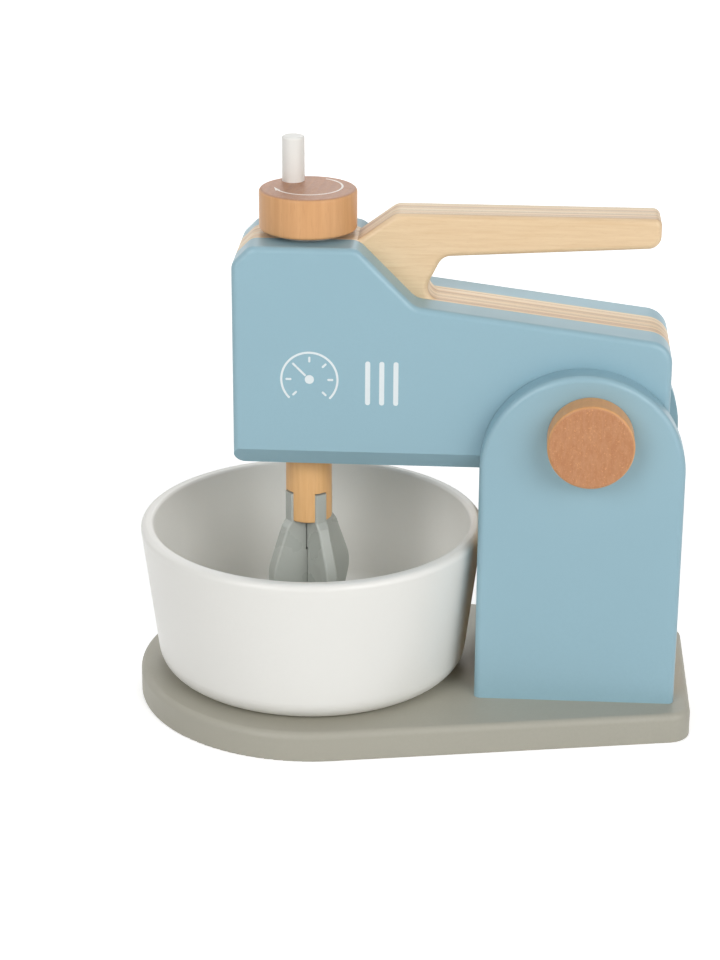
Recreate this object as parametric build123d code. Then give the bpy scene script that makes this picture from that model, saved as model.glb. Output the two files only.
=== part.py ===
from build123d import *
import os
from math import acos, atan2, cos, hypot, radians, sin, tan

# Wooden toy stand mixer: a base board carries a bowl and a column of two uprights;
# a three-layer head tilts back on an axle between them and holds a hand-turned beater.
# X runs along the base with the bowl at -X, Y runs across with the front at -Y, Z is up.
# The origin is the centre of the base board's underside. Sizes are in millimetres.

# fits
glue_fit = 0.02             # radial play of pieces that are glued or driven in
running_fit = 0.08          # radial play of shafts that turn
rest_gap = 0.3              # between faces of pieces that move on each other

# base board
base_thick = 11.1
base_rim = 1.2              # round end stands out from under the bowl by this much
base_tail_margin = 7.8      # uprights to the square end's sides
base_corner_radius = 8.5
base_edge_round = 2.4
base_foot_round = 0.8

# head: two painted panels on a plywood core
panel_thick = 12.3
core_thick = 17.4
panel_edge_round = 2.2
head_lift = 83.3            # base top to the head's underside
head_height = 79.9          # underside to the crown under the top knob
nose_reach = 25.0           # beater axis to the nose
nose_cut_run = 6.2          # slanted corner between nose and crown
nose_cut_drop = 6.3
crown_reach = 18.2          # beater axis to the end of the crown
neck_run = 20.1             # steep face behind the crown
neck_drop = 20.3
crown_corner_radius = 6.0   # crown to the steep face
neck_radius = 7.0           # steep face to the long slope
back_slope = 7.2            # degrees, the long top edge falls to the tail
tail_reach = 27.4           # pivot to the tail
tail_top_radius = 8.5
tail_foot_radius = 4.0
nose_corner_radius = 5.0
nose_foot_radius = 4.0
sole_bevel_height = 6.3     # wide bevel along the panels' lower edge
sole_bevel_depth = 4.5

# carry handle, the upper part of the core
handle_rise = 9.3           # above the crown
handle_rise_run = 12.6      # the handle's front climbs over this length
handle_end_inset = 5.1      # handle's free end short of the tail
handle_tip_thick = 10.5
handle_root_thick = 15.0
handle_root_reach = 47.1    # beater axis to the finger gap's upper inner corner
gap_foot_reach = 39.8       # beater axis to its lower inner corner
gap_upper_radius = 5.0
gap_lower_radius = 4.6
handle_front_radius = 5.0   # where the climb meets the top
handle_tip_radius = 2.6
handle_tip_foot_radius = 4.5
handle_edge_round = 2.0

# column
upright_thick = 9.0
column_width = 71.4
column_inset = 6.0          # from the base's square end
bowl_gap = 1.88             # bowl's rim to the spacer block
column_edge_round = 2.2
pivot_lead = 2.3            # pivot behind the column's middle
pivot_rise = 17.2           # pivot above the head's underside
arch_drop = 13.5            # centre of the uprights' round top below the pivot
board_gap = 0.4             # head to each upright
block_inset = 3.4           # spacer block behind the uprights' bowl-side edge
tilt_stop = 60.0            # degrees, where the head's underside meets the block
tail_clearance = 1.2        # below the tail's corner as it swings

# pivot axle with its end knobs
axle_radius = 5.0
axle_seat = 7.0             # axle's length inside each end knob
side_knob_radius = 15.0
side_knob_thick = 10.0
knob_edge_round = 1.2

# drive: top knob, crank peg, spindle, shaft and the two crossed beater plates
top_knob_radius = 17.1
top_knob_height = 14.3
knob_bore_depth = 9.0
washer_radius = 12.0
washer_thick = 1.2
spindle_radius = 5.0
peg_radius = 4.0
peg_height = 16.0           # above the top knob
peg_seat = 8.0
peg_offset = 11.6           # from the shaft's axis
peg_angle = 121.0           # degrees from +X
peg_tip_round = 0.8
shaft_radius = 8.3
shaft_length = 26.3
shaft_top_gap = 0.4
shaft_bore_depth = 12.0
shaft_tip_round = 0.8
slot_depth = 10.8           # crossed slots that hold the plates
slot_headroom = 0.5         # left above the plates in the slots
beater_angle = 36.0         # degrees from +X
plate_thick = 4.6
plate_floor_gap = 7.9       # above the bowl's floor
tongue_proud = 0.5          # plates stand out of the shaft by this much
shoulder_drop = 10.8        # plate top to the shoulder under the tongue
shoulder_run = 1.7
shoulder_fall = 2.2
plate_waist_rise = 23.0     # plate foot to the widest place
plate_lap_rise = 31.0       # plate foot to where the two plates' slots meet
lap_play = 0.45             # on each side of a plate in the other one's slot
plate_half_width = 16.9
plate_foot_half = 11.0
plate_waist_radius = 16.0
plate_foot_radius = 5.0
plate_edge_round = 0.8

# bowl, loose on the base board
bowl_height = 55.7
bowl_radius = 62.5          # outer wall carried up to the rim's height
bowl_lean = 7.0             # degrees, the wall widens upwards
bowl_wall = 4.8
bowl_floor = 6.0
bowl_foot_radius = 9.0
bowl_inner_foot_radius = 8.0
rim_outer_radius = 2.2
rim_inner_radius = 1.3
bowl_shift = 1.1            # bowl's centre behind the beater's axis

# fastenings
dowel_radius = 3.0
dowel_seat = 7.0            # depth of a dowel in a panel or upright
column_dowel_seat = 14.0    # depth of a column dowel in the block
column_dowel_inset = 17.7   # upper dowels from the column's sides
column_dowel_low = 20.0     # lower dowel above the base board
column_dowel_high = 42.0
nose_dowel_reach = 15.5     # beater axis to the head's front dowel
nose_dowel_rise = 24.0      # above the head's underside
neck_dowel_rise = 32.0
tail_dowel_inset = 14.0     # from the tail and from the slope above
screw_length = 30.0
screw_radius = 1.75
screw_head_radius = 3.75
screw_head_height = 2.2
screw_recess = 0.4
screw_inset = 17.7          # from the column's sides
cross_length = 4.4
cross_width = 0.9
cross_depth = 1.3

# places worked out from the sizes above
bowl_tan = tan(radians(bowl_lean))
bowl_cos = cos(radians(bowl_lean))
bowl_reach = bowl_radius - rim_outer_radius * (bowl_tan + 1 / bowl_cos - 1)
base_end_radius = bowl_reach + base_rim
bowl_to_column = bowl_reach + bowl_gap - block_inset + column_width / 2
base_length = base_end_radius + bowl_to_column + column_width / 2 + column_inset
bowl_x = base_end_radius - base_length / 2
shaft_x = bowl_x - bowl_shift
column_x = bowl_x + bowl_to_column
pivot_x = column_x + pivot_lead
head_z0 = base_thick + head_lift
head_z1 = head_z0 + head_height
pivot_z = head_z0 + pivot_rise
head_half = core_thick / 2 + panel_thick
upright_y0 = head_half + board_gap
upright_y1 = upright_y0 + upright_thick
nose_x = shaft_x - nose_reach
crown_x = shaft_x + crown_reach
notch_x = crown_x + neck_run
notch_z = head_z1 - neck_drop
tail_x = pivot_x + tail_reach
back_fall = tan(radians(back_slope))
knob_z = head_z1 + washer_thick + rest_gap
knob_top_z = knob_z + top_knob_height
shaft_top_z = head_z0 - shaft_top_gap
shaft_foot_z = shaft_top_z - shaft_length
slot_top_z = shaft_foot_z + slot_depth
plate_foot_z = base_thick + bowl_floor + plate_floor_gap
lap_z = plate_foot_z + plate_lap_rise


# a board cut to a side-view outline, lying between two planes across Y
def board(outline, y0, y1):
    return extrude(Plane.XZ.offset(-y0) * outline, y0 - y1)


# an outline with some of its corners rounded: corners holds ((x, z), radius) pairs
def rounded(outline, corners):
    for place, radius in corners:
        outline = fillet(outline.vertices().sort_by_distance(place)[0], radius)
    return outline


# a round rod between two ends
def rod(radius, start, end):
    axis = Vector(*end) - Vector(*start)
    return extrude(Plane(origin=start, z_dir=axis) * Circle(radius), axis.length)


def across(radius, x, z, y0, y1):
    return rod(radius, (x, y0, z), (x, y1, z))


# a board's rearmost face
def outer_face(solid):
    return solid.faces().filter_by(Axis.Y).sort_by(Axis.Y)[-1]


def on_both_sides(solid):
    return solid, mirror(solid, about=Plane.XZ)


# wood screw that points up out of the base board's underside
def screw(x, y, play=0.0):
    z0 = screw_recess
    z1 = z0 + screw_length + play
    head_r = screw_head_radius + play
    shank_r = screw_radius + play
    neck_z = z0 + screw_head_height
    point_z = z1 - 2 * shank_r
    outline = Polyline((0, z0), (head_r, z0), (shank_r, neck_z), (shank_r, point_z), (0, z1), close=True)
    return Pos(x, y, 0) * revolve(Plane.XZ * make_face(outline), Axis.Z)


def slotted_screw(x, y):
    cross = Box(cross_length, cross_width, 2 * cross_depth) + Box(cross_width, cross_length, 2 * cross_depth)
    return screw(x, y) - Pos(x, y, screw_recess) * cross


# screw hole with the countersink open to the underside
def screw_hole(x, y):
    mouth = rod(screw_head_radius + glue_fit, (x, y, -1), (x, y, screw_recess))
    return screw(x, y, glue_fit) + mouth


upright_mid_y = (upright_y0 + upright_y1) / 2
screw_reach = column_width / 2 - screw_inset
screw_places = [
    (column_x + side * screw_reach, y)
    for side in (-1, 1)
    for y in (-upright_mid_y, 0, upright_mid_y)
]


def make_base_board():
    length = base_length - base_end_radius
    half = upright_y1 + base_tail_margin
    angle = atan2(half, length) + acos(base_end_radius / hypot(length, half))
    touch = (base_end_radius * cos(angle), base_end_radius * sin(angle))
    tail = Polyline(touch, (length, half), (length, -half), (touch[0], -touch[1]), close=True)
    outline = make_face(tail) + Circle(base_end_radius)
    outline = fillet(outline.vertices().sort_by(Axis.X)[-2:], base_corner_radius)
    slab = extrude(Pos(bowl_x, 0) * outline, base_thick)
    slab = fillet(slab.faces().sort_by(Axis.Z)[-1].edges(), base_edge_round)
    slab = fillet(slab.faces().sort_by(Axis.Z)[0].edges(), base_foot_round)
    for x, y in screw_places:
        slab -= screw_hole(x, y)
    return slab


# dowels between the block and the uprights: one low down, two higher up
dowel_reach = column_width / 2 - column_dowel_inset
column_dowel_places = [
    (column_x, base_thick + column_dowel_low),
    (column_x - dowel_reach, base_thick + column_dowel_high),
    (column_x + dowel_reach, base_thick + column_dowel_high),
]


def make_rear_upright():
    half = column_width / 2
    arch_z = pivot_z - arch_drop
    stem = Pos(column_x, (base_thick + arch_z) / 2) * Rectangle(column_width, arch_z - base_thick)
    outline = stem + Pos(column_x, arch_z) * Circle(half)
    cheek = board(outline, upright_y0, upright_y1)
    cheek = fillet(outer_face(cheek).edges().sort_by(Axis.Z)[1:], column_edge_round)
    cheek -= across(axle_radius + running_fit, pivot_x, pivot_z, upright_y0 - 1, upright_y1 + 1)
    for x, y in screw_places:
        if y > 0:
            cheek -= screw_hole(x, y)
    for x, z in column_dowel_places:
        cheek -= across(dowel_radius + glue_fit, x, z, upright_y0 - 1, upright_y0 + dowel_seat)
    return cheek


# Spacer block between the uprights. The head rests on its ledge, and leans on the
# slanted face beside the ledge when it is tilted back. The lower step clears the tail.
def make_column_block():
    left = column_x - column_width / 2 + block_inset
    right = column_x + column_width / 2
    ledge_z = head_z0 - rest_gap
    reach = pivot_rise + rest_gap
    lean_x, lean_z = sin(radians(tilt_stop)), cos(radians(tilt_stop))
    swing = hypot(tail_reach, pivot_rise) + tail_clearance
    ledge_x = pivot_x - reach * (1 - lean_z) / lean_x
    step_x = pivot_x - (reach - swing * lean_z) / lean_x
    outline = Polyline(
        (left, base_thick),
        (left, ledge_z),
        (ledge_x, ledge_z),
        (step_x, pivot_z - swing),
        (right, pivot_z - swing),
        (right, base_thick),
        close=True,
    )
    block = board(make_face(outline), -upright_y0, upright_y0)
    for x, y in screw_places:
        if y == 0:
            block -= screw_hole(x, y)
    for x, z in column_dowel_places:
        for side in (-1, 1):
            inner = side * (upright_y0 - column_dowel_seat)
            block -= across(dowel_radius + glue_fit, x, z, inner, side * (upright_y0 + 1))
    return block


def make_column_dowels():
    pins = []
    for x, z in column_dowel_places:
        for side in (-1, 1):
            inner = side * (upright_y0 - column_dowel_seat)
            outer = side * (upright_y0 + dowel_seat)
            pins.append(across(dowel_radius, x, z, inner, outer))
    return Compound(pins)


# height of the head's long sloping top edge
def back_z(x):
    return notch_z - back_fall * (x - notch_x)


tail_z = back_z(tail_x)


# side view shared by the panels and the core's lower part
def head_outline():
    outline = Polyline(
        (nose_x, head_z0),
        (nose_x, head_z1 - nose_cut_drop),
        (nose_x + nose_cut_run, head_z1),
        (crown_x, head_z1),
        (notch_x, notch_z),
        (tail_x, tail_z),
        (tail_x, head_z0),
        close=True,
    )
    return rounded(make_face(outline), [
        ((nose_x, head_z0), nose_foot_radius),
        ((nose_x, head_z1 - nose_cut_drop), nose_corner_radius),
        ((nose_x + nose_cut_run, head_z1), nose_corner_radius),
        ((crown_x, head_z1), crown_corner_radius),
        ((notch_x, notch_z), neck_radius),
        ((tail_x, tail_z), tail_top_radius),
        ((tail_x, head_z0), tail_foot_radius),
    ])


# dowels that pin the three layers together
head_dowel_places = [
    (shaft_x - nose_dowel_reach, head_z0 + nose_dowel_rise),
    (notch_x, head_z0 + neck_dowel_rise),
    (tail_x - tail_dowel_inset, tail_z - tail_dowel_inset),
]


def bore_head(layer):
    layer -= across(axle_radius + glue_fit, pivot_x, pivot_z, -upright_y1, upright_y1)
    pin_end = core_thick / 2 + dowel_seat
    for x, z in head_dowel_places:
        layer -= across(dowel_radius + glue_fit, x, z, -pin_end, pin_end)
    return layer


def make_rear_panel():
    panel = board(head_outline(), core_thick / 2, head_half)
    panel = fillet(outer_face(panel).edges(), panel_edge_round)
    wedge = Polyline(
        (head_half - sole_bevel_depth, head_z0),
        (head_half, head_z0 + sole_bevel_height),
        (head_half, head_z0),
        close=True,
    )
    panel -= extrude(Plane.YZ.offset(nose_x) * make_face(wedge), tail_x - nose_x)
    return bore_head(panel)


# the handle's own outline, with a root that is buried in the core's lower part
def handle_outline():
    top_z = head_z1 + handle_rise
    end_x = tail_x - handle_end_inset
    root_x = shaft_x + handle_root_reach
    foot_x = shaft_x + gap_foot_reach
    toe_x = foot_x + 2 * gap_lower_radius
    buried = 2 * handle_edge_round
    buried_z = back_z(toe_x) - neck_drop
    outline = Polyline(
        (crown_x - buried, buried_z),
        (crown_x - buried, head_z1 - buried * handle_rise / handle_rise_run),
        (crown_x + handle_rise_run, top_z),
        (end_x, top_z),
        (end_x, top_z - handle_tip_thick),
        (root_x, top_z - handle_root_thick),
        (foot_x, back_z(foot_x)),
        (toe_x, back_z(toe_x)),
        (toe_x, buried_z),
        close=True,
    )
    return rounded(make_face(outline), [
        ((crown_x + handle_rise_run, top_z), handle_front_radius),
        ((end_x, top_z), handle_tip_radius),
        ((end_x, top_z - handle_tip_thick), handle_tip_foot_radius),
        ((root_x, top_z - handle_root_thick), gap_upper_radius),
        ((foot_x, back_z(foot_x)), gap_lower_radius),
    ])


def make_head_core():
    half = core_thick / 2
    handle = board(handle_outline(), -half, half)
    rims = [edge for face in handle.faces().filter_by(Axis.Y) for edge in face.edges()]
    handle = fillet(rims, handle_edge_round)
    core = board(head_outline(), -half, half) + handle
    core -= rod(spindle_radius + running_fit, (shaft_x, 0, head_z0 - 1), (shaft_x, 0, head_z1 + 1))
    return bore_head(core)


def make_head_dowels():
    pin_end = core_thick / 2 + dowel_seat
    return Compound([across(dowel_radius, x, z, -pin_end, pin_end) for x, z in head_dowel_places])


knob_inner_y = upright_y1 + rest_gap
axle_end_y = knob_inner_y + axle_seat


def make_pivot_axle():
    return across(axle_radius, pivot_x, pivot_z, -axle_end_y, axle_end_y)


def make_rear_axle_knob():
    knob = across(side_knob_radius, pivot_x, pivot_z, knob_inner_y, knob_inner_y + side_knob_thick)
    knob = fillet(knob.edges().sort_by(Axis.Y)[-1], knob_edge_round)
    return knob - across(axle_radius + glue_fit, pivot_x, pivot_z, knob_inner_y - 1, axle_end_y + glue_fit)


def make_knob_washer():
    disc = rod(washer_radius, (shaft_x, 0, head_z1), (shaft_x, 0, head_z1 + washer_thick))
    bore = rod(spindle_radius + rest_gap, (shaft_x, 0, head_z1 - 1), (shaft_x, 0, knob_z))
    return disc - bore


peg_x = shaft_x + peg_offset * cos(radians(peg_angle))
peg_y = peg_offset * sin(radians(peg_angle))


def make_top_knob():
    knob = rod(top_knob_radius, (shaft_x, 0, knob_z), (shaft_x, 0, knob_top_z))
    knob = fillet(knob.edges().filter_by(GeomType.CIRCLE), knob_edge_round)
    knob -= rod(spindle_radius + glue_fit, (shaft_x, 0, knob_z - 1), (shaft_x, 0, knob_z + knob_bore_depth))
    peg_foot = (peg_x, peg_y, knob_top_z - peg_seat)
    return knob - rod(peg_radius + glue_fit, peg_foot, (peg_x, peg_y, knob_top_z + 1))


def make_crank_peg():
    peg = rod(peg_radius, (peg_x, peg_y, knob_top_z - peg_seat), (peg_x, peg_y, knob_top_z + peg_height))
    return fillet(peg.edges().sort_by(Axis.Z)[-1], peg_tip_round)


def make_drive_spindle():
    foot = (shaft_x, 0, shaft_top_z - shaft_bore_depth)
    return rod(spindle_radius, foot, (shaft_x, 0, knob_z + knob_bore_depth))


def make_beater_shaft():
    shaft = rod(shaft_radius, (shaft_x, 0, shaft_foot_z), (shaft_x, 0, shaft_top_z))
    shaft = fillet(shaft.edges().sort_by(Axis.Z)[0], shaft_tip_round)
    bore_foot = (shaft_x, 0, shaft_top_z - shaft_bore_depth)
    shaft -= rod(spindle_radius + glue_fit, bore_foot, (shaft_x, 0, head_z0))
    slot = Box(3 * shaft_radius, plate_thick + 2 * glue_fit, 2 * (slot_depth + slot_headroom))
    for turn in (0, 90):
        shaft -= Pos(shaft_x, 0, shaft_foot_z) * Rot(0, 0, beater_angle + turn) * slot
    return shaft


# half of a beater plate's outline, mirrored about its axis
def plate_outline():
    tongue = shaft_radius + tongue_proud
    shoulder_z = slot_top_z - shoulder_drop
    waist_z = plate_foot_z + plate_waist_rise
    half = Polyline(
        (0, slot_top_z),
        (tongue, slot_top_z),
        (tongue, shoulder_z),
        (tongue + shoulder_run, shoulder_z - shoulder_fall),
        (plate_half_width, waist_z),
        (plate_foot_half, plate_foot_z),
        (0, plate_foot_z),
        close=True,
    )
    half = rounded(make_face(half), [
        ((tongue + shoulder_run, shoulder_z - shoulder_fall), plate_edge_round),
        ((plate_half_width, waist_z), plate_waist_radius),
        ((plate_foot_half, plate_foot_z), plate_foot_radius),
    ])
    return half + mirror(half, about=Plane.YZ)


# the lap slot is open at the foot of one plate and at the top of the other
def make_beater_plate(turn, slot_end_z):
    plate = board(plate_outline(), -plate_thick / 2, plate_thick / 2)
    tongue = shaft_radius + tongue_proud
    faces = plate.faces().filter_by(Axis.Y)
    wings = [e for f in faces for e in f.edges() if abs(e.center().X) > tongue - plate_edge_round]
    plate = fillet(wings, plate_edge_round)
    slot_width = plate_thick + 2 * lap_play
    slot_height = 2 * (abs(slot_end_z - lap_z) + lap_play)
    plate -= Pos(0, 0, slot_end_z) * Box(slot_width, slot_width, slot_height)
    return Pos(shaft_x, 0, 0) * Rot(0, 0, beater_angle + turn) * plate


def make_bowl():
    inner_top = bowl_radius - bowl_wall / bowl_cos
    outer_foot = bowl_radius - bowl_height * bowl_tan
    inner_foot = inner_top - (bowl_height - bowl_floor) * bowl_tan
    top_z = base_thick + bowl_height
    floor_z = base_thick + bowl_floor
    section = Polyline(
        (0, base_thick),
        (outer_foot, base_thick),
        (bowl_radius, top_z),
        (inner_top, top_z),
        (inner_foot, floor_z),
        (0, floor_z),
        close=True,
    )
    section = rounded(make_face(section), [
        ((outer_foot, base_thick), bowl_foot_radius),
        ((bowl_radius, top_z), rim_outer_radius),
        ((inner_top, top_z), rim_inner_radius),
        ((inner_foot, floor_z), bowl_inner_foot_radius),
    ])
    return Pos(bowl_x, 0, 0) * revolve(Plane.XZ * section, Axis.Z)


rear_upright, front_upright = on_both_sides(make_rear_upright())
rear_panel, front_panel = on_both_sides(make_rear_panel())
rear_axle_knob, front_axle_knob = on_both_sides(make_rear_axle_knob())

nodes = {
    "base_board": make_base_board(),
    "front_upright": front_upright,
    "rear_upright": rear_upright,
    "column_block": make_column_block(),
    "column_dowels": make_column_dowels(),
    "base_screws": Compound([slotted_screw(x, y) for x, y in screw_places]),
    "front_panel": front_panel,
    "rear_panel": rear_panel,
    "head_core": make_head_core(),
    "head_dowels": make_head_dowels(),
    "pivot_axle": make_pivot_axle(),
    "front_axle_knob": front_axle_knob,
    "rear_axle_knob": rear_axle_knob,
    "knob_washer": make_knob_washer(),
    "top_knob": make_top_knob(),
    "crank_peg": make_crank_peg(),
    "drive_spindle": make_drive_spindle(),
    "beater_shaft": make_beater_shaft(),
    "beater_plate_long": make_beater_plate(90, plate_foot_z),
    "beater_plate_cross": make_beater_plate(0, slot_top_z),
    "bowl": make_bowl(),
}

os.makedirs("parts", exist_ok=True)
for name, solid in nodes.items():
    export_step(solid, f"parts/{name}.step")
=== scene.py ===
import math

import bmesh
import bpy
from mathutils import Matrix, Vector


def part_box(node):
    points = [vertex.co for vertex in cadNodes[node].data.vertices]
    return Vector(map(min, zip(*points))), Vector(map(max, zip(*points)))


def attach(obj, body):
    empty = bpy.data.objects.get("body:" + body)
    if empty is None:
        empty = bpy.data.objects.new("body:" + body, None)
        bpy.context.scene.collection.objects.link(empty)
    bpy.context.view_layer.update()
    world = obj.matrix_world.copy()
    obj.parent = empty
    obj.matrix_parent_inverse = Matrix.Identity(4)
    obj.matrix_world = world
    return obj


# Wooden toy stand mixer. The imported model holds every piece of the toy. This script
# gives each one its finish, prints the marks on two of them, and sets up the studio.

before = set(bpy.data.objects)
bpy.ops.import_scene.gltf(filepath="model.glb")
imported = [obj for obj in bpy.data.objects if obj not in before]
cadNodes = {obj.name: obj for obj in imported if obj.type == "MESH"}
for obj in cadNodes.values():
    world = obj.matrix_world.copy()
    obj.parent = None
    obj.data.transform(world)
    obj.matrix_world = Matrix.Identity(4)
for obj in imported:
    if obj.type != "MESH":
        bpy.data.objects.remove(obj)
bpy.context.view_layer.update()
print("frame loaded with", len(cadNodes), "nodes")


# colours and shader helpers

def srgb(red, green, blue):
    # a paint-card colour, 0 to 255, as the linear colour that the shader wants
    linear = []
    for value in (red, green, blue):
        v = value / 255
        linear.append(v / 12.92 if v <= 0.04045 else ((v + 0.055) / 1.055) ** 2.4)
    return (*linear, 1.0)


def addNode(tree, kind, **settings):
    node = tree.nodes.new(kind)
    for name, value in settings.items():
        setattr(node, name, value)
    return node


def newMaterial(name):
    material = bpy.data.materials.new(name)
    material.use_nodes = True
    tree = material.node_tree
    return material, tree, tree.nodes["Principled BSDF"]


def objectPlaces(tree, scale=(1, 1, 1), turn=(0, 0, 0), centre=(0, 0, 0)):
    # places on the piece, shifted to its centre, turned by degrees and stretched
    coords = addNode(tree, "ShaderNodeTexCoord")
    shift = addNode(tree, "ShaderNodeVectorMath", operation="SUBTRACT")
    shift.inputs[1].default_value = centre
    mapping = addNode(tree, "ShaderNodeMapping")
    mapping.inputs["Rotation"].default_value = [math.radians(a) for a in turn]
    mapping.inputs["Scale"].default_value = scale
    tree.links.new(coords.outputs["Object"], shift.inputs[0])
    tree.links.new(shift.outputs[0], mapping.inputs["Vector"])
    return mapping.outputs["Vector"]


def noise(tree, places, scale, detail=3.0, rough=0.5, distortion=0.0):
    node = addNode(tree, "ShaderNodeTexNoise")
    node.inputs["Scale"].default_value = scale
    node.inputs["Detail"].default_value = detail
    node.inputs["Roughness"].default_value = rough
    node.inputs["Distortion"].default_value = distortion
    tree.links.new(places, node.inputs["Vector"])
    return node.outputs["Fac"]


def spread(tree, value, low, high, outLow=0.0, outHigh=1.0):
    # maps one range of a grey value on to another, and holds it there outside
    node = addNode(tree, "ShaderNodeMapRange")
    for name, number in (("From Min", low), ("From Max", high), ("To Min", outLow), ("To Max", outHigh)):
        node.inputs[name].default_value = number
    tree.links.new(value, node.inputs["Value"])
    return node.outputs["Result"]


def mixColours(tree, factor, first, second):
    node = addNode(tree, "ShaderNodeMix", data_type="RGBA")
    sockets = {"Factor": node.inputs[0], "A": node.inputs[6], "B": node.inputs[7]}
    for name, value in (("Factor", factor), ("A", first), ("B", second)):
        if isinstance(value, (float, int, tuple)):
            sockets[name].default_value = value
        else:
            tree.links.new(value, sockets[name])
    return node.outputs[2]


def combine(tree, operation, first, second=None):
    node = addNode(tree, "ShaderNodeMath", operation=operation)
    for index, value in enumerate((first, second)):
        if value is None:
            continue
        if isinstance(value, (float, int)):
            node.inputs[index].default_value = value
        else:
            tree.links.new(value, node.inputs[index])
    return node.outputs[0]


def bumpFrom(tree, height, depth, strength=1.0, below=None):
    node = addNode(tree, "ShaderNodeBump")
    node.inputs["Strength"].default_value = strength
    node.inputs["Distance"].default_value = depth
    tree.links.new(height, node.inputs["Height"])
    if below is not None:
        tree.links.new(below, node.inputs["Normal"])
    return node.outputs["Normal"]


def shaded(colour, amount):
    # the colour made lighter by a share of itself, or darker where the share is negative
    return tuple(min(1.0, part * (1 + amount)) for part in colour[:3]) + (1.0,)


def paintedWood(name, colour, look):
    # sprayed satin paint: slow drifts of shade, fine orange peel, grain that only just telegraphs
    material, tree, shader = newMaterial(name)
    places = objectPlaces(tree)
    drift = spread(tree, noise(tree, places, look["driftScale"], 2.0), 0.3, 0.7)
    body = mixColours(tree, drift, shaded(colour, -look["drift"]), shaded(colour, look["drift"]))
    speck = spread(tree, noise(tree, places, look["speckScale"], 3.0, 0.6), 0.35, 0.65)
    dusty = mixColours(tree, speck, shaded(colour, -look["speck"]), body)
    tree.links.new(dusty, shader.inputs["Base Color"])
    dullest, shiniest = look["roughness"] + look["roughDrift"], look["roughness"] - look["roughDrift"]
    sheen = spread(tree, noise(tree, places, look["roughScale"], 3.0), 0.3, 0.7, shiniest, dullest)
    tree.links.new(sheen, shader.inputs["Roughness"])
    peel = noise(tree, places, look["peelScale"], 2.0, 0.5)
    grain = noise(tree, objectPlaces(tree, look["grainStretch"]), 1.0, 4.0, 0.6)
    fine = bumpFrom(tree, peel, look["peelDepth"], 0.5)
    tree.links.new(bumpFrom(tree, grain, look["grainDepth"], 0.6, fine), shader.inputs["Normal"])
    shader.inputs["Specular IOR Level"].default_value = look["gloss"]
    return material


blueLook = {
    "driftScale": 16.0, "drift": 0.018, "speckScale": 900.0, "speck": 0.008,
    "roughness": 0.35, "roughDrift": 0.05, "roughScale": 90.0, "gloss": 0.5,
    "peelScale": 1100.0, "peelDepth": 0.00002,
    "grainStretch": (120.0, 700.0, 900.0), "grainDepth": 0.00002,
}
blueMaterial = paintedWood("skyBluePaint", srgb(147, 182, 195), blueLook)

sageLook = dict(blueLook, drift=0.02, speck=0.02, roughness=0.5, grainStretch=(110.0, 900.0, 700.0))
sageMaterial = paintedWood("sagePaint", srgb(170, 167, 154), sageLook)

whiteLook = dict(blueLook, drift=0.006, speck=0.006, roughness=0.34, grainStretch=(90.0, 90.0, 1300.0))
whiteMaterial = paintedWood("warmWhitePaint", srgb(237, 236, 231), whiteLook)

greyLook = dict(blueLook, drift=0.008, speck=0.01, roughness=0.3)
greyLook.update(grainDepth=0.000004, grainStretch=(500.0, 500.0, 90.0))
greyMaterial = paintedWood("beaterGreyPaint", srgb(179, 183, 177), greyLook)
print("paints mixed")


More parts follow.
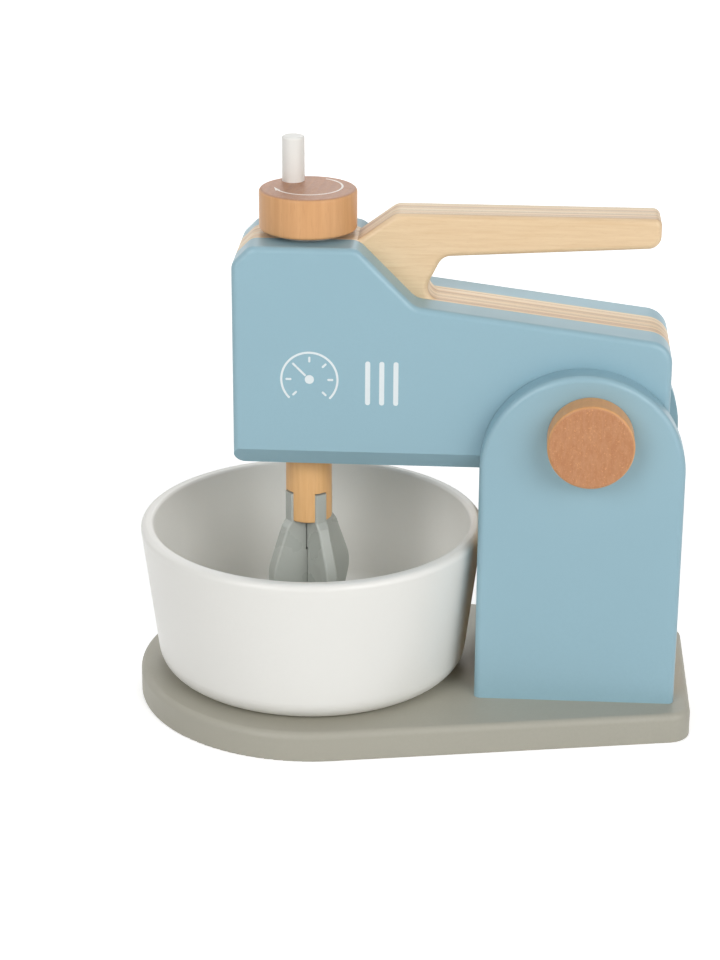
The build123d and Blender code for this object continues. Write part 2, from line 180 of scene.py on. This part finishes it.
def plywood(name, look):
    # birch plywood with its layers stacked across Y: long grain and end grain by turns
    material, tree, shader = newMaterial(name)
    places = objectPlaces(tree)
    split = addNode(tree, "ShaderNodeSeparateXYZ")
    tree.links.new(places, split.inputs[0])
    waves = noise(tree, places, look["wanderScale"], 2.0)
    wander = spread(tree, waves, 0.0, 1.0, -look["wander"], look["wander"])
    across = combine(tree, "ADD", split.outputs["Y"], wander)
    # the middle layer is centred on Y = 0, and an even number far above keeps the count positive
    count = combine(tree, "ADD", combine(tree, "DIVIDE", across, look["layer"]), 0.5)
    part = combine(tree, "FRACT", count)
    whole = combine(tree, "ADD", combine(tree, "FLOOR", count), 100.0)
    parity = combine(tree, "MODULO", whole, 2.0)
    # long grain runs along X, with the short flecks of rotary-cut birch
    long = noise(tree, objectPlaces(tree, look["grainStretch"]), 1.0, 5.0, 0.62, 0.3)
    fleck = noise(tree, objectPlaces(tree, look["fleckStretch"]), 1.0, 2.0, 0.5)
    figure = noise(tree, objectPlaces(tree, look["figureStretch"]), 1.0, 2.0, 0.5, 1.2)
    face = mixColours(tree, spread(tree, long, 0.34, 0.66), look["dark"], look["light"])
    face = mixColours(tree, spread(tree, figure, 0.35, 0.65, 0.0, look["figures"]), face, look["warm"])
    face = mixColours(tree, spread(tree, fleck, 0.56, 0.74, 0.0, look["flecks"]), face, look["fleck"])
    # end grain is a little darker and speckled
    pores = noise(tree, places, look["poreScale"], 3.0, 0.7)
    end = mixColours(tree, spread(tree, pores, 0.35, 0.7), look["endLight"], look["endDark"])
    colour = mixColours(tree, parity, face, end)
    glue = combine(tree, "LESS_THAN", combine(tree, "PINGPONG", part, 0.5), look["glueShare"])
    colour = mixColours(tree, combine(tree, "MULTIPLY", glue, look["glueDepth"]), colour, look["glue"])
    # sawn edges: some layers come out paler or browner than others, all along their length
    normal = addNode(tree, "ShaderNodeSeparateXYZ")
    tree.links.new(addNode(tree, "ShaderNodeTexCoord").outputs["Normal"], normal.inputs[0])
    sawn = spread(tree, combine(tree, "ABSOLUTE", normal.outputs["Y"]), 0.4, 0.8, 1.0, 0.0)
    bands = noise(tree, objectPlaces(tree, look["bandStretch"]), 1.0, 1.0, 0.5)
    pale = combine(tree, "MULTIPLY", sawn, spread(tree, bands, 0.36, 0.5, look["paleDepth"], 0.0))
    brown = combine(tree, "MULTIPLY", sawn, spread(tree, bands, 0.58, 0.66, 0.0, look["brownDepth"]))
    colour = mixColours(tree, brown, mixColours(tree, pale, colour, look["paleBand"]), look["brownBand"])
    tree.links.new(colour, shader.inputs["Base Color"])
    sheen = spread(tree, long, 0.3, 0.7, look["smooth"], look["rough"])
    tree.links.new(sheen, shader.inputs["Roughness"])
    pitted = bumpFrom(tree, pores, look["poreDepth"], 0.4)
    tree.links.new(bumpFrom(tree, long, look["grainDepth"], 0.5, pitted), shader.inputs["Normal"])
    return material


plyLook = {
    "layer": 0.0020, "wander": 0.00008, "wanderScale": 45.0,
    "glueShare": 0.11, "glueDepth": 0.35, "glue": srgb(172, 140, 106),
    "bandStretch": (5.0, 520.0, 5.0),
    "paleDepth": 0.8, "paleBand": srgb(240, 223, 194),
    "brownDepth": 0.45, "brownBand": srgb(184, 144, 106),
    "grainStretch": (55.0, 900.0, 900.0), "grainDepth": 0.00004,
    "light": srgb(235, 209, 172), "dark": srgb(223, 192, 152),
    "fleckStretch": (420.0, 2600.0, 2600.0), "flecks": 0.2, "fleck": srgb(209, 172, 129),
    "figureStretch": (9.0, 40.0, 30.0), "figures": 0.4, "warm": srgb(229, 197, 154),
    "poreScale": 1500.0, "poreDepth": 0.00002,
    "endLight": srgb(229, 207, 172), "endDark": srgb(210, 184, 147),
    "smooth": 0.34, "rough": 0.44,
}
plyMaterial = plywood("birchPlywood", plyLook)


def turnedBeech(name, look, turn, centre):
    # beech turned from rod. In the turned frame the grain runs along Z.
    material, tree, shader = newMaterial(name)

    def places(stretch):
        return objectPlaces(tree, stretch, turn, centre)

    streaks = noise(tree, places(look["streakStretch"]), 1.0, 4.0, 0.6, 0.2)
    rays = noise(tree, places(look["rayStretch"]), 1.0, 2.0, 0.5)
    waves = addNode(tree, "ShaderNodeTexWave", wave_type="BANDS", bands_direction="X", wave_profile="SAW")
    for socket, value in (("Scale", 1.0), ("Distortion", 2.2), ("Detail", 2.0), ("Detail Scale", 0.6)):
        waves.inputs[socket].default_value = value
    tree.links.new(places(look["ringStretch"]), waves.inputs["Vector"])
    rings = waves.outputs["Fac"]
    colour = mixColours(tree, spread(tree, streaks, 0.3, 0.7), look["dark"], look["light"])
    colour = mixColours(tree, spread(tree, rings, 0.2, 1.0, 0.0, look["rings"]), colour, look["ring"])
    colour = mixColours(tree, spread(tree, rays, 0.58, 0.72, 0.0, look["rays"]), colour, look["ray"])
    # end grain, where the surface faces along the rod, is redder and darker
    facing = addNode(tree, "ShaderNodeTexCoord")
    turned = addNode(tree, "ShaderNodeMapping", vector_type="NORMAL")
    turned.inputs["Rotation"].default_value = [math.radians(a) for a in turn]
    tree.links.new(facing.outputs["Normal"], turned.inputs["Vector"])
    parts = addNode(tree, "ShaderNodeSeparateXYZ")
    tree.links.new(turned.outputs[0], parts.inputs[0])
    ends = spread(tree, combine(tree, "ABSOLUTE", parts.outputs["Z"]), 0.6, 0.95)
    pores = noise(tree, objectPlaces(tree), look["poreScale"], 3.0, 0.7)
    end = mixColours(tree, spread(tree, pores, 0.2, 0.8), look["endDark"], look["endLight"])
    bands = noise(tree, places(look["bandStretch"]), 1.0, 3.0, 0.6)
    end = mixColours(tree, spread(tree, bands, 0.40, 0.62, 0.0, look["bands"]), end, look["band"])
    flecks = noise(tree, places(look["fleckStretch"]), 1.0, 2.0, 0.5)
    end = mixColours(tree, spread(tree, flecks, 0.6, 0.74, 0.0, look["bands"]), end, look["light"])
    end = mixColours(tree, spread(tree, rings, 0.2, 1.0, 0.0, look["endRings"]), end, look["ring"])
    tree.links.new(mixColours(tree, ends, colour, end), shader.inputs["Base Color"])
    sheen = spread(tree, streaks, 0.3, 0.7, look["smooth"], look["rough"])
    tree.links.new(sheen, shader.inputs["Roughness"])
    pitted = bumpFrom(tree, pores, look["poreDepth"], 0.35)
    tree.links.new(bumpFrom(tree, streaks, look["streakDepth"], 0.4, pitted), shader.inputs["Normal"])
    shader.inputs["Specular IOR Level"].default_value = look["gloss"]
    return material


beechLook = {
    "streakStretch": (520.0, 520.0, 26.0), "streakDepth": 0.00005,
    "light": srgb(221, 169, 118), "dark": srgb(211, 157, 105),
    "ringStretch": (95.0, 30.0, 7.0), "rings": 0.16, "endRings": 0.2, "ring": srgb(198, 140, 90),
    "rayStretch": (1500.0, 1500.0, 160.0), "rays": 0.22, "ray": srgb(188, 130, 84),
    "endLight": srgb(198, 144, 104), "endDark": srgb(184, 128, 89),
    "bandStretch": (760.0, 120.0, 300.0), "bands": 0.55, "band": srgb(176, 115, 74),
    "fleckStretch": (1900.0, 1100.0, 1500.0),
    "poreScale": 1400.0, "poreDepth": 0.00003,
    "smooth": 0.36, "rough": 0.48, "gloss": 0.42,
}


def middleOf(node):
    low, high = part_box(node)
    return tuple((a + b) / 2 for a, b in zip(low, high))


# each piece comes from a rod of its own. The turns, in degrees, bring the rod's grain on to Z.
topKnobLook = dict(beechLook, endLight=srgb(182, 135, 106), endDark=srgb(164, 117, 90))
topKnobLook.update(band=srgb(154, 108, 82), bands=0.25)
topKnobMaterial = turnedBeech("beechTopKnob", topKnobLook, (0, 0, 20), middleOf("top_knob"))
# the side knobs get a lighter, more orange copy of the beech: partly the knob's own sanded tone, partly
# painted light that lifts the knob where the light from above is weak
sideKnobLookPaintedLight = dict(beechLook, light=srgb(231, 174, 117), dark=srgb(221, 162, 104))
sideKnobMaterialPaintedLight = turnedBeech("beechSideKnobPaintedLight", sideKnobLookPaintedLight, (90, 0, 0), middleOf("front_axle_knob"))
# the shaft and spindle get a lighter copy of the beech: painted light that lifts them out of the shade under
# the head. Their rings and rays are fainter as well
shaftLookPaintedLight = dict(beechLook, light=srgb(238, 191, 134), dark=srgb(228, 177, 118), rings=0.12, rays=0.1)
shaftMaterialPaintedLight = turnedBeech("beechShaftPaintedLight", shaftLookPaintedLight, (0, 0, 65), middleOf("beater_shaft"))
dowelMaterial = turnedBeech("beechDowel", beechLook, (90, 0, 0), middleOf("pivot_axle"))
print("bare woods ready")


def cloudyFinish(name, look):
    # a plain finish with slow clouds in its shade and sheen, for the zinc and the nylon
    material, tree, shader = newMaterial(name)
    places = objectPlaces(tree)
    cloud = noise(tree, places, look["cloudScale"], look["cloudDetail"], look["cloudRough"])
    colour = mixColours(tree, spread(tree, cloud, 0.3, 0.7), look["dark"], look["light"])
    tree.links.new(colour, shader.inputs["Base Color"])
    sheen = spread(tree, cloud, 0.3, 0.7, look["smooth"], look["rough"])
    tree.links.new(sheen, shader.inputs["Roughness"])
    texture = noise(tree, places, look["bumpScale"], 2.0)
    tree.links.new(bumpFrom(tree, texture, look["bumpDepth"], 0.4), shader.inputs["Normal"])
    shader.inputs["Metallic"].default_value = look["metal"]
    return material


zincLook = {
    "cloudScale": 350.0, "cloudDetail": 4.0, "cloudRough": 0.6,
    "dark": srgb(176, 178, 180), "light": srgb(202, 203, 202), "metal": 1.0,
    "smooth": 0.28, "rough": 0.42, "bumpScale": 2500.0, "bumpDepth": 0.00002,
}
nylonLook = {
    "cloudScale": 120.0, "cloudDetail": 3.0, "cloudRough": 0.5,
    "dark": srgb(222, 219, 211), "light": srgb(232, 230, 224), "metal": 0.0,
    "smooth": 0.34, "rough": 0.42, "bumpScale": 1800.0, "bumpDepth": 0.00001,
}
zincMaterial = cloudyFinish("zincPlate", zincLook)
nylonMaterial = cloudyFinish("whiteNylon", nylonLook)

finishes = {
    "base_board": sageMaterial,
    "front_upright": blueMaterial,
    "rear_upright": blueMaterial,
    "front_panel": blueMaterial,
    "rear_panel": blueMaterial,
    "column_block": plyMaterial,
    "head_core": plyMaterial,
    "column_dowels": dowelMaterial,
    "head_dowels": dowelMaterial,
    "pivot_axle": dowelMaterial,
    "front_axle_knob": sideKnobMaterialPaintedLight,
    "rear_axle_knob": sideKnobMaterialPaintedLight,
    "knob_washer": nylonMaterial,
    "top_knob": topKnobMaterial,
    "crank_peg": whiteMaterial,
    "drive_spindle": shaftMaterialPaintedLight,
    "beater_shaft": shaftMaterialPaintedLight,
    "beater_plate_long": greyMaterial,
    "beater_plate_cross": greyMaterial,
    "bowl": whiteMaterial,
    "base_screws": zincMaterial,
}

for nodeName, material in finishes.items():
    part = cadNodes[nodeName]
    if not part.material_slots:
        part.data.materials.append(material)
    for slot in part.material_slots:
        slot.material = material
print("finishes given to", len(finishes), "nodes")


printLook = dict(blueLook, drift=0.01, speck=0.02, roughness=0.45)
printMaterial = paintedWood("whitePrint", srgb(226, 234, 236), printLook)
creamPrintMaterial = paintedWood("creamPrint", srgb(250, 241, 232), printLook)
shaftX = middleOf("beater_shaft")[0]
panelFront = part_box("front_panel")[0][1]
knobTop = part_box("top_knob")[1][2]
filmDepth = 0.00006


def filmBlock(name, size, place, turn=(0, 0, 0)):
    # a thin block of ink to shape further, with its place in its mesh
    bpy.ops.object.select_all(action="DESELECT")
    bpy.ops.mesh.primitive_cube_add(size=1, location=place, rotation=turn)
    mark = bpy.context.object
    mark.name = name
    mark.scale = size
    bpy.ops.object.transform_apply(location=True, rotation=True, scale=True)
    return mark


def roundEnds(mark, along, radius, segments=6, sharpAngle=1.0):
    # bevels the sharp edges that run through the film's thickness
    bpy.ops.object.mode_set(mode="EDIT")
    bpy.ops.mesh.select_mode(type="EDGE")
    bpy.ops.mesh.select_all(action="DESELECT")
    shape = bmesh.from_edit_mesh(mark.data)
    for edge in shape.edges:
        run = (edge.verts[1].co - edge.verts[0].co).normalized()
        across = abs(run.dot(Vector(along))) > 0.99
        sharp = len(edge.link_faces) == 2 and edge.calc_face_angle() > sharpAngle
        edge.select_set(across and sharp)
    shape.select_flush_mode()
    bmesh.update_edit_mesh(mark.data)
    bpy.ops.mesh.bevel(offset=radius, segments=segments, affect="EDGES")
    bpy.ops.object.mode_set(mode="OBJECT")


def sweptLine(name, c, along, centre, start, sweep, turn):
    # a line of ink swept round an arc
    bpy.ops.object.select_all(action="DESELECT")
    bpy.ops.mesh.primitive_plane_add(size=1, location=start, rotation=turn)
    line = bpy.context.object
    line.name = name
    line.scale = (c["width"], filmDepth, 1.0)
    bpy.ops.object.transform_apply(location=True, rotation=True, scale=True)
    bpy.ops.object.mode_set(mode="EDIT")
    bpy.ops.mesh.select_all(action="SELECT")
    bpy.ops.mesh.spin(steps=c["steps"], angle=math.radians(sweep), center=centre, axis=along)
    bpy.ops.mesh.select_all(action="SELECT")
    bpy.ops.mesh.remove_doubles(threshold=0.000001)
    bpy.ops.mesh.normals_make_consistent(inside=False)
    bpy.ops.object.mode_set(mode="OBJECT")
    roundEnds(line, along, c["rounding"] * c["width"])
    return line


def joined(name, pieces):
    bpy.ops.object.select_all(action="DESELECT")
    for piece in pieces:
        piece.select_set(True)
    bpy.context.view_layer.objects.active = pieces[0]
    bpy.ops.object.join()
    whole = bpy.context.object
    whole.name = name
    return whole


def finishMark(mark, body, ink=printMaterial):
    mark.data.materials.clear()
    mark.data.materials.append(ink)
    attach(mark, body)


bars = {
    "reaches": (0.0223, 0.0272, 0.0321),   # from the shaft's line
    "low": 0.1183, "high": 0.1343, "width": 0.00175, "rounding": 0.48,
}


def makeBars(c):
    size = (c["width"], filmDepth, c["high"] - c["low"])
    place = (shaftX + c["reaches"][0], panelFront - filmDepth / 2, (c["low"] + c["high"]) / 2)
    first = filmBlock("barMark1", size, place)
    roundEnds(first, (0, 1, 0), c["rounding"] * c["width"])
    marks = [first]
    for index, reach in enumerate(c["reaches"][1:], start=2):
        copy = first.copy()
        copy.data = first.data.copy()
        copy.name = "barMark%d" % index
        bpy.context.collection.objects.link(copy)
        copy.data.transform(Matrix.Translation((reach - c["reaches"][0], 0, 0)))
        marks.append(copy)
    for mark in marks:
        finishMark(mark, "head")


makeBars(bars)
print("bars printed on the head")

dial = {
    "reach": 0.0020, "height": 0.1272, "radius": 0.0098, "width": 0.00075, "rounding": 0.48,
    "from": 225.0, "sweep": 270.0, "steps": 72,   # degrees, clockwise as seen from the front
    "ticks": 7, "tickLength": 0.0021, "tickMiddle": 0.0073,
    "hub": 0.0016, "hubRounding": 0.98, "pointer": 0.0046, "pointerGap": 0.0002, "aim": 135.0,
}


def makeDial(c):
    # a speed dial: an open ring, ticks inside it, and a hub with a pointer
    centre = Vector((shaftX + c["reach"], panelFront - filmDepth / 2, c["height"]))
    begin = math.radians(c["from"])
    start = centre + c["radius"] * Vector((math.cos(begin), 0, math.sin(begin)))
    pieces = [sweptLine("speedDial", c, (0, 1, 0), centre, start, -c["sweep"], (0, -begin, 0))]
    tick = filmBlock("dialTick", (c["tickLength"], filmDepth, c["width"]), (c["tickMiddle"], 0, 0))
    roundEnds(tick, (0, 1, 0), c["rounding"] * c["width"])
    for index in range(c["ticks"]):
        angle = begin - math.radians(c["sweep"]) * index / (c["ticks"] - 1)
        copy = tick.copy()
        copy.data = tick.data.copy()
        bpy.context.collection.objects.link(copy)
        copy.data.transform(Matrix.Translation(centre) @ Matrix.Rotation(-angle, 4, "Y"))
        pieces.append(copy)
    bpy.data.objects.remove(tick)
    hub = filmBlock("dialHub", (2 * c["hub"], filmDepth, 2 * c["hub"]), centre)
    roundEnds(hub, (0, 1, 0), c["hubRounding"] * c["hub"])
    pieces.append(hub)
    aim = -math.radians(c["aim"])
    reach = Vector((c["hub"] + c["pointerGap"] + c["pointer"] / 2, 0, 0))
    place = centre + Matrix.Rotation(aim, 4, "Y") @ reach
    pointer = filmBlock("dialPointer", (c["pointer"], filmDepth, c["width"]), place, (0, aim, 0))
    roundEnds(pointer, (0, 1, 0), c["rounding"] * c["width"])
    pieces.append(pointer)
    finishMark(joined("speedDial", pieces), "head")


makeDial(dial)
print("dial printed on the head")

arrow = {
    "behind": 0.002, "radius": 0.0118, "width": 0.0007, "rounding": 0.48,
    "from": 202.0, "sweep": 222.0, "steps": 64,   # degrees, from the arrow's head round to its tail
    "headLength": 0.0044, "headWidth": 0.0016, "headFilm": 0.000054, "headTaper": 0.94,
}


def makeArrow(c):
    # shows which way the knob turns
    centre = Vector((shaftX, c["behind"], knobTop + filmDepth / 2))
    begin = math.radians(c["from"])
    out = Vector((math.cos(begin), math.sin(begin), 0))
    place = centre + c["radius"] * out
    turn = (math.pi / 2, 0, begin)
    line = sweptLine("turnArrow", c, (0, 0, 1), centre, place, -c["sweep"], turn)
    size = (c["headWidth"], c["headLength"], c["headFilm"])
    tip = filmBlock("arrowTip", size, place, (0, 0, begin))
    ahead = Vector((math.sin(begin), -math.cos(begin), 0))
    for vertex in tip.data.vertices:
        if (vertex.co - centre).dot(ahead) > 0:
            side = (vertex.co - centre).dot(out) - c["radius"]
            vertex.co -= c["headTaper"] * side * out
    finishMark(joined("turnArrow", [line, tip]), "beater", creamPrintMaterial)


makeArrow(arrow)
print("arrow printed on the knob")


studio = {
    "floorSize": 14.0, "floorColour": (0.86, 0.86, 0.855, 1.0), "floorRoughness": 0.9,
    "skyForCamera": 1.0, "skyForLight": 0.05,
    "nearReach": 0.6, "nearGlow": 0.5, "farReach": 1.8, "farGlow": 1.0,
}


def seenRays(tree):
    # 1 for the rays that see the backdrop: from the camera, mirrored, or through glass
    rays = addNode(tree, "ShaderNodeLightPath")
    seen = combine(tree, "MAXIMUM", rays.outputs["Is Camera Ray"], rays.outputs["Is Glossy Ray"])
    return combine(tree, "MAXIMUM", seen, rays.outputs["Is Transmission Ray"])


def makeFloor(c):
    # white paper that keeps the shadow, with a glow of its own that grows away from the toy
    bpy.ops.object.select_all(action="DESELECT")
    bpy.ops.mesh.primitive_plane_add(size=c["floorSize"])
    floor = bpy.context.object
    floor.name = "studioFloor"
    material, tree, shader = newMaterial("studioPaper")
    shader.inputs["Base Color"].default_value = c["floorColour"]
    shader.inputs["Roughness"].default_value = c["floorRoughness"]
    shader.inputs["Specular IOR Level"].default_value = 0.0
    away = addNode(tree, "ShaderNodeVectorMath", operation="LENGTH")
    tree.links.new(addNode(tree, "ShaderNodeTexCoord").outputs["Object"], away.inputs[0])
    strength = spread(tree, away.outputs["Value"], c["nearReach"], c["farReach"], c["nearGlow"], c["farGlow"])
    glow = addNode(tree, "ShaderNodeEmission")
    tree.links.new(combine(tree, "MULTIPLY", seenRays(tree), strength), glow.inputs["Strength"])
    both = addNode(tree, "ShaderNodeAddShader")
    tree.links.new(shader.outputs[0], both.inputs[0])
    tree.links.new(glow.outputs[0], both.inputs[1])
    tree.links.new(both.outputs[0], tree.nodes["Material Output"].inputs["Surface"])
    floor.data.materials.append(material)


def makeSky(c):
    world = bpy.data.worlds.new("studioSky")
    bpy.context.scene.world = world
    world.use_nodes = True
    tree = world.node_tree
    strength = spread(tree, seenRays(tree), 0.0, 1.0, c["skyForLight"], c["skyForCamera"])
    background = tree.nodes["Background"]
    background.inputs["Color"].default_value = (1.0, 1.0, 1.0, 1.0)
    tree.links.new(strength, background.inputs["Strength"])


lamps = {
    "frontLeftSoftbox": {"place": (-0.9, -1.5, 1.0), "size": 1.3, "power": 17.2, "mirrored": True},
    "frontRightSoftbox": {"place": (1.05, -1.4, 0.98), "size": 1.2, "power": 15.3, "mirrored": True},
    "rightSoftbox": {"place": (1.5, -0.72, 0.62), "size": 1.0, "power": 5.0, "mirrored": True},
    "topSoftbox": {"place": (0.0, 0.2, 1.9), "size": 1.3, "power": 3.0, "mirrored": True},
    "backSoftbox": {"place": (0.0, 1.4, 1.4), "size": 1.3, "power": 9.0, "mirrored": True},
    "backLeftSoftbox": {"place": (-1.3, 0.9, 1.0), "size": 1.3, "power": 5.0, "mirrored": True},
    "lowBackFill": {"place": (0.5, 1.7, 0.45), "size": 1.1, "power": 5.0, "mirrored": False},
}
lampTarget = Vector((0.0, 0.0, 0.09))


def makeLamp(name, c):
    bpy.ops.object.light_add(type="AREA", location=c["place"])
    lamp = bpy.context.object
    lamp.name = name
    lamp.data.shape = "DISK"
    lamp.data.size = c["size"]
    lamp.data.energy = c["power"]
    lamp.visible_camera = False
    lamp.visible_glossy = c["mirrored"]   # the fill leaves no shine on the level tops
    lamp.rotation_euler = (lampTarget - lamp.location).to_track_quat("-Z", "Y").to_euler()


camera = {
    "lookAt": (-0.01993, 0.0, 0.08196), "distance": 0.8994,
    "azimuth": 3.553, "elevation": 21.389, "roll": 0.288,   # degrees
    "lens": 93.27, "sensor": 36.0,                          # the sensor lies along the long side
}


def makeCamera(c):
    bpy.ops.object.camera_add()
    shot = bpy.context.object
    shot.name = "studioCamera"
    shot.data.sensor_fit = "AUTO"
    shot.data.sensor_width = c["sensor"]
    shot.data.lens = c["lens"]
    turn = Matrix.Rotation(math.radians(c["azimuth"]), 4, "Z")
    tilt = Matrix.Rotation(math.radians(90 - c["elevation"]), 4, "X")
    roll = Matrix.Rotation(math.radians(c["roll"]), 4, "Z")
    back = Matrix.Translation((0, 0, c["distance"]))
    shot.matrix_world = Matrix.Translation(c["lookAt"]) @ turn @ tilt @ roll @ back
    bpy.context.scene.camera = shot


makeFloor(studio)
makeSky(studio)
for lampName, settings in lamps.items():
    makeLamp(lampName, settings)
makeCamera(camera)
bpy.context.scene.view_settings.view_transform = "Standard"
print("studio set")
